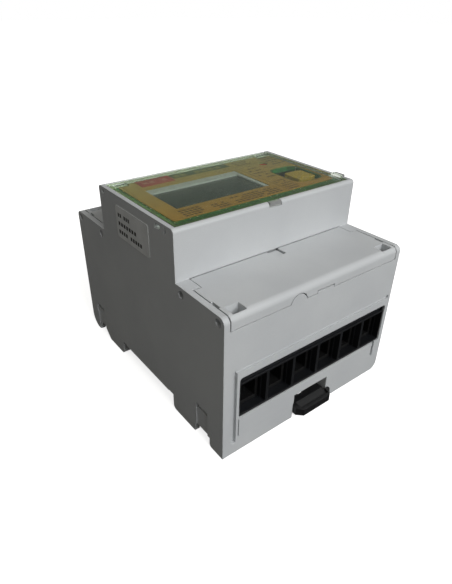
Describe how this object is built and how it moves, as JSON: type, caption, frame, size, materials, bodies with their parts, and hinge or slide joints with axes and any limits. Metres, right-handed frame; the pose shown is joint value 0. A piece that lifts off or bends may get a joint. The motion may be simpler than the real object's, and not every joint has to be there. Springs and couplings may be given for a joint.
{
  "type": "smart electric meter",
  "caption": "DIN-rail electricity meter with a stepped grey case, hinged terminal covers, a hinged clear display window, lift-clamp terminals and a sprung rail clip.",
  "frame": {"origin": "centre of the rail seat on the back of the case", "axes": "+Z is the normal of the front panel, away from the rail; +X runs along the rail; +Y points to the end opposite the rail clip"},
  "size_m": [0.0721, 0.0932, 0.0672],
  "materials": {
    "case_grey": "fine moulded texture",
    "clear_window": "clear polycarbonate, polished",
    "button_gold": "semi-gloss",
    "clip_black": "moulded, satin",
    "terminal_black": "moulded, satin",
    "busbar_brass": "tinned brass",
    "board_green": "solder mask over glass laminate",
    "moulded_black": "moulded epoxy",
    "plated_steel": "zinc plated",
    "clamp_steel": "black passivated steel",
    "potting_blue": "potting case",
    "tape_yellow": "insulation tape",
    "capacitor_sleeve": "shrink sleeve",
    "varistor_blue": "epoxy dip",
    "battery_steel": "plated steel",
    "lcd_frame_grey": "moulded",
    "diffuser_white": "light guide",
    "lcd_dark": "polarised display glass",
    "rubber_strip": "conductive rubber",
    "label_orange": "printed film",
    "badge_red": "printed film",
    "led_red": "tinted epoxy",
    "label_silver": "silver foil label"
  },
  "bodies": {
    "case": {"base_shell": "case_grey", "main_shell": "case_grey", "near_terminal_block": "terminal_black", "far_terminal_block": "terminal_black", "current_busbars": "busbar_brass", "voltage_busbars": "busbar_brass", "power_board": "board_green", "display_board": "board_green", "switch_board": "board_green", "riser_board": "board_green", "riser_connectors": "moulded_black", "board_screws": "plated_steel", "current_transformers": "potting_blue", "supply_transformer": "tape_yellow", "supply_capacitors": "capacitor_sleeve", "surge_varistors": "varistor_blue", "metering_chip": "moulded_black", "pulse_opto": "moulded_black", "backup_battery": "battery_steel", "processor_chip": "moulded_black", "clock_crystal": "plated_steel", "lcd_frame": "lcd_frame_grey", "lcd_backlight": "diffuser_white", "lcd_glass": "lcd_dark", "lcd_contact_strip": "rubber_strip", "face_label": "label_orange", "badge_plate": "badge_red", "pulse_led": "led_red", "tact_switch": "moulded_black", "side_label": "label_silver"},
    "near_cover": {"near_cover": "case_grey"},
    "far_cover": {"far_cover": "case_grey"},
    "window": {"window": "clear_window"},
    "button": {"button_cap": "button_gold"},
    "rail_clip": {"rail_clip": "clip_black"},
    "near_screw_1": {"near_screw_1": "plated_steel"},
    "near_clamp_1": {"near_clamp_1": "clamp_steel"},
    "near_screw_2": {"near_screw_2": "plated_steel"},
    "near_clamp_2": {"near_clamp_2": "clamp_steel"},
    "near_screw_3": {"near_screw_3": "plated_steel"},
    "near_clamp_3": {"near_clamp_3": "clamp_steel"},
    "near_screw_4": {"near_screw_4": "plated_steel"},
    "near_clamp_4": {"near_clamp_4": "clamp_steel"},
    "near_screw_5": {"near_screw_5": "plated_steel"},
    "near_clamp_5": {"near_clamp_5": "clamp_steel"},
    "near_screw_6": {"near_screw_6": "plated_steel"},
    "near_clamp_6": {"near_clamp_6": "clamp_steel"},
    "far_screw_1": {"far_screw_1": "plated_steel"},
    "far_clamp_1": {"far_clamp_1": "clamp_steel"},
    "far_screw_2": {"far_screw_2": "plated_steel"},
    "far_clamp_2": {"far_clamp_2": "clamp_steel"},
    "far_screw_3": {"far_screw_3": "plated_steel"},
    "far_clamp_3": {"far_clamp_3": "clamp_steel"},
    "far_screw_4": {"far_screw_4": "plated_steel"},
    "far_clamp_4": {"far_clamp_4": "clamp_steel"},
    "far_screw_5": {"far_screw_5": "plated_steel"},
    "far_clamp_5": {"far_clamp_5": "clamp_steel"},
    "far_screw_6": {"far_screw_6": "plated_steel"},
    "far_clamp_6": {"far_clamp_6": "clamp_steel"}
  },
  "joints": [
    {"name": "near_cover_hinge", "type": "hinge", "parent": "case", "child": "near_cover", "pos_m": [0, -0.0252, 0.0425], "axis": [-1, 0, 0], "range_deg": [0, 85]},
    {"name": "far_cover_hinge", "type": "hinge", "parent": "case", "child": "far_cover", "pos_m": [0, 0.0252, 0.0425], "axis": [1, 0, 0], "range_deg": [0, 85]},
    {"name": "window_hinge", "type": "hinge", "parent": "case", "child": "window", "pos_m": [0, 0.0199, 0.0593], "axis": [-1, 0, 0], "range_deg": [0, 90]},
    {"name": "button_press", "type": "slide", "parent": "case", "child": "button", "axis": [0, 0, -1], "range_m": [0, 0.0005], "stiffness_N_per_m": 150, "springref_m": -0.001},
    {"name": "rail_clip_slide", "type": "slide", "parent": "case", "child": "rail_clip", "axis": [0, -1, 0], "range_m": [0, 0.0032], "stiffness_N_per_m": 600, "springref_m": -0.002},
    {"name": "near_screw_1_turn", "type": "hinge", "parent": "case", "child": "near_screw_1", "pos_m": [-0.02455, -0.0379, 0.0294], "axis": [0, 0, -1], "range_deg": [0, 2520]},
    {"name": "near_clamp_1_lift", "type": "slide", "parent": "case", "child": "near_clamp_1", "axis": [0, 0, 1], "range_m": [0, 0.0049]},
    {"name": "near_screw_2_turn", "type": "hinge", "parent": "case", "child": "near_screw_2", "pos_m": [-0.01385, -0.0379, 0.0294], "axis": [0, 0, -1], "range_deg": [0, 2520]},
    {"name": "near_clamp_2_lift", "type": "slide", "parent": "case", "child": "near_clamp_2", "axis": [0, 0, 1], "range_m": [0, 0.0049]},
    {"name": "near_screw_3_turn", "type": "hinge", "parent": "case", "child": "near_screw_3", "pos_m": [-0.00315, -0.0379, 0.0294], "axis": [0, 0, -1], "range_deg": [0, 2520]},
    {"name": "near_clamp_3_lift", "type": "slide", "parent": "case", "child": "near_clamp_3", "axis": [0, 0, 1], "range_m": [0, 0.0049]},
    {"name": "near_screw_4_turn", "type": "hinge", "parent": "case", "child": "near_screw_4", "pos_m": [0.00755, -0.0379, 0.0294], "axis": [0, 0, -1], "range_deg": [0, 2520]},
    {"name": "near_clamp_4_lift", "type": "slide", "parent": "case", "child": "near_clamp_4", "axis": [0, 0, 1], "range_m": [0, 0.0049]},
    {"name": "near_screw_5_turn", "type": "hinge", "parent": "case", "child": "near_screw_5", "pos_m": [0.01825, -0.0379, 0.0294], "axis": [0, 0, -1], "range_deg": [0, 2520]},
    {"name": "near_clamp_5_lift", "type": "slide", "parent": "case", "child": "near_clamp_5", "axis": [0, 0, 1], "range_m": [0, 0.0049]},
    {"name": "near_screw_6_turn", "type": "hinge", "parent": "case", "child": "near_screw_6", "pos_m": [0.02895, -0.0379, 0.0294], "axis": [0, 0, -1], "range_deg": [0, 2520]},
    {"name": "near_clamp_6_lift", "type": "slide", "parent": "case", "child": "near_clamp_6", "axis": [0, 0, 1], "range_m": [0, 0.0049]},
    {"name": "far_screw_1_turn", "type": "hinge", "parent": "case", "child": "far_screw_1", "pos_m": [0.02455, 0.0379, 0.0294], "axis": [0, 0, -1], "range_deg": [0, 2520]},
    {"name": "far_clamp_1_lift", "type": "slide", "parent": "case", "child": "far_clamp_1", "axis": [0, 0, 1], "range_m": [0, 0.0049]},
    {"name": "far_screw_2_turn", "type": "hinge", "parent": "case", "child": "far_screw_2", "pos_m": [0.01385, 0.0379, 0.0294], "axis": [0, 0, -1], "range_deg": [0, 2520]},
    {"name": "far_clamp_2_lift", "type": "slide", "parent": "case", "child": "far_clamp_2", "axis": [0, 0, 1], "range_m": [0, 0.0049]},
    {"name": "far_screw_3_turn", "type": "hinge", "parent": "case", "child": "far_screw_3", "pos_m": [0.00315, 0.0379, 0.0294], "axis": [0, 0, -1], "range_deg": [0, 2520]},
    {"name": "far_clamp_3_lift", "type": "slide", "parent": "case", "child": "far_clamp_3", "axis": [0, 0, 1], "range_m": [0, 0.0049]},
    {"name": "far_screw_4_turn", "type": "hinge", "parent": "case", "child": "far_screw_4", "pos_m": [-0.00755, 0.0379, 0.0294], "axis": [0, 0, -1], "range_deg": [0, 2520]},
    {"name": "far_clamp_4_lift", "type": "slide", "parent": "case", "child": "far_clamp_4", "axis": [0, 0, 1], "range_m": [0, 0.0049]},
    {"name": "far_screw_5_turn", "type": "hinge", "parent": "case", "child": "far_screw_5", "pos_m": [-0.01825, 0.0379, 0.0294], "axis": [0, 0, -1], "range_deg": [0, 2520]},
    {"name": "far_clamp_5_lift", "type": "slide", "parent": "case", "child": "far_clamp_5", "axis": [0, 0, 1], "range_m": [0, 0.0049]},
    {"name": "far_screw_6_turn", "type": "hinge", "parent": "case", "child": "far_screw_6", "pos_m": [-0.02895, 0.0379, 0.0294], "axis": [0, 0, -1], "range_deg": [0, 2520]},
    {"name": "far_clamp_6_lift", "type": "slide", "parent": "case", "child": "far_clamp_6", "axis": [0, 0, 1], "range_m": [0, 0.0049]}
  ],
  "couplings": [
    {"joint": "near_screw_1_turn", "follows": "near_clamp_1_lift", "rad_per_m": 8976},
    {"joint": "near_screw_2_turn", "follows": "near_clamp_2_lift", "rad_per_m": 8976},
    {"joint": "near_screw_3_turn", "follows": "near_clamp_3_lift", "rad_per_m": 8976},
    {"joint": "near_screw_4_turn", "follows": "near_clamp_4_lift", "rad_per_m": 8976},
    {"joint": "near_screw_5_turn", "follows": "near_clamp_5_lift", "rad_per_m": 8976},
    {"joint": "near_screw_6_turn", "follows": "near_clamp_6_lift", "rad_per_m": 8976},
    {"joint": "far_screw_1_turn", "follows": "far_clamp_1_lift", "rad_per_m": 8976},
    {"joint": "far_screw_2_turn", "follows": "far_clamp_2_lift", "rad_per_m": 8976},
    {"joint": "far_screw_3_turn", "follows": "far_clamp_3_lift", "rad_per_m": 8976},
    {"joint": "far_screw_4_turn", "follows": "far_clamp_4_lift", "rad_per_m": 8976},
    {"joint": "far_screw_5_turn", "follows": "far_clamp_5_lift", "rad_per_m": 8976},
    {"joint": "far_screw_6_turn", "follows": "far_clamp_6_lift", "rad_per_m": 8976}
  ]
}
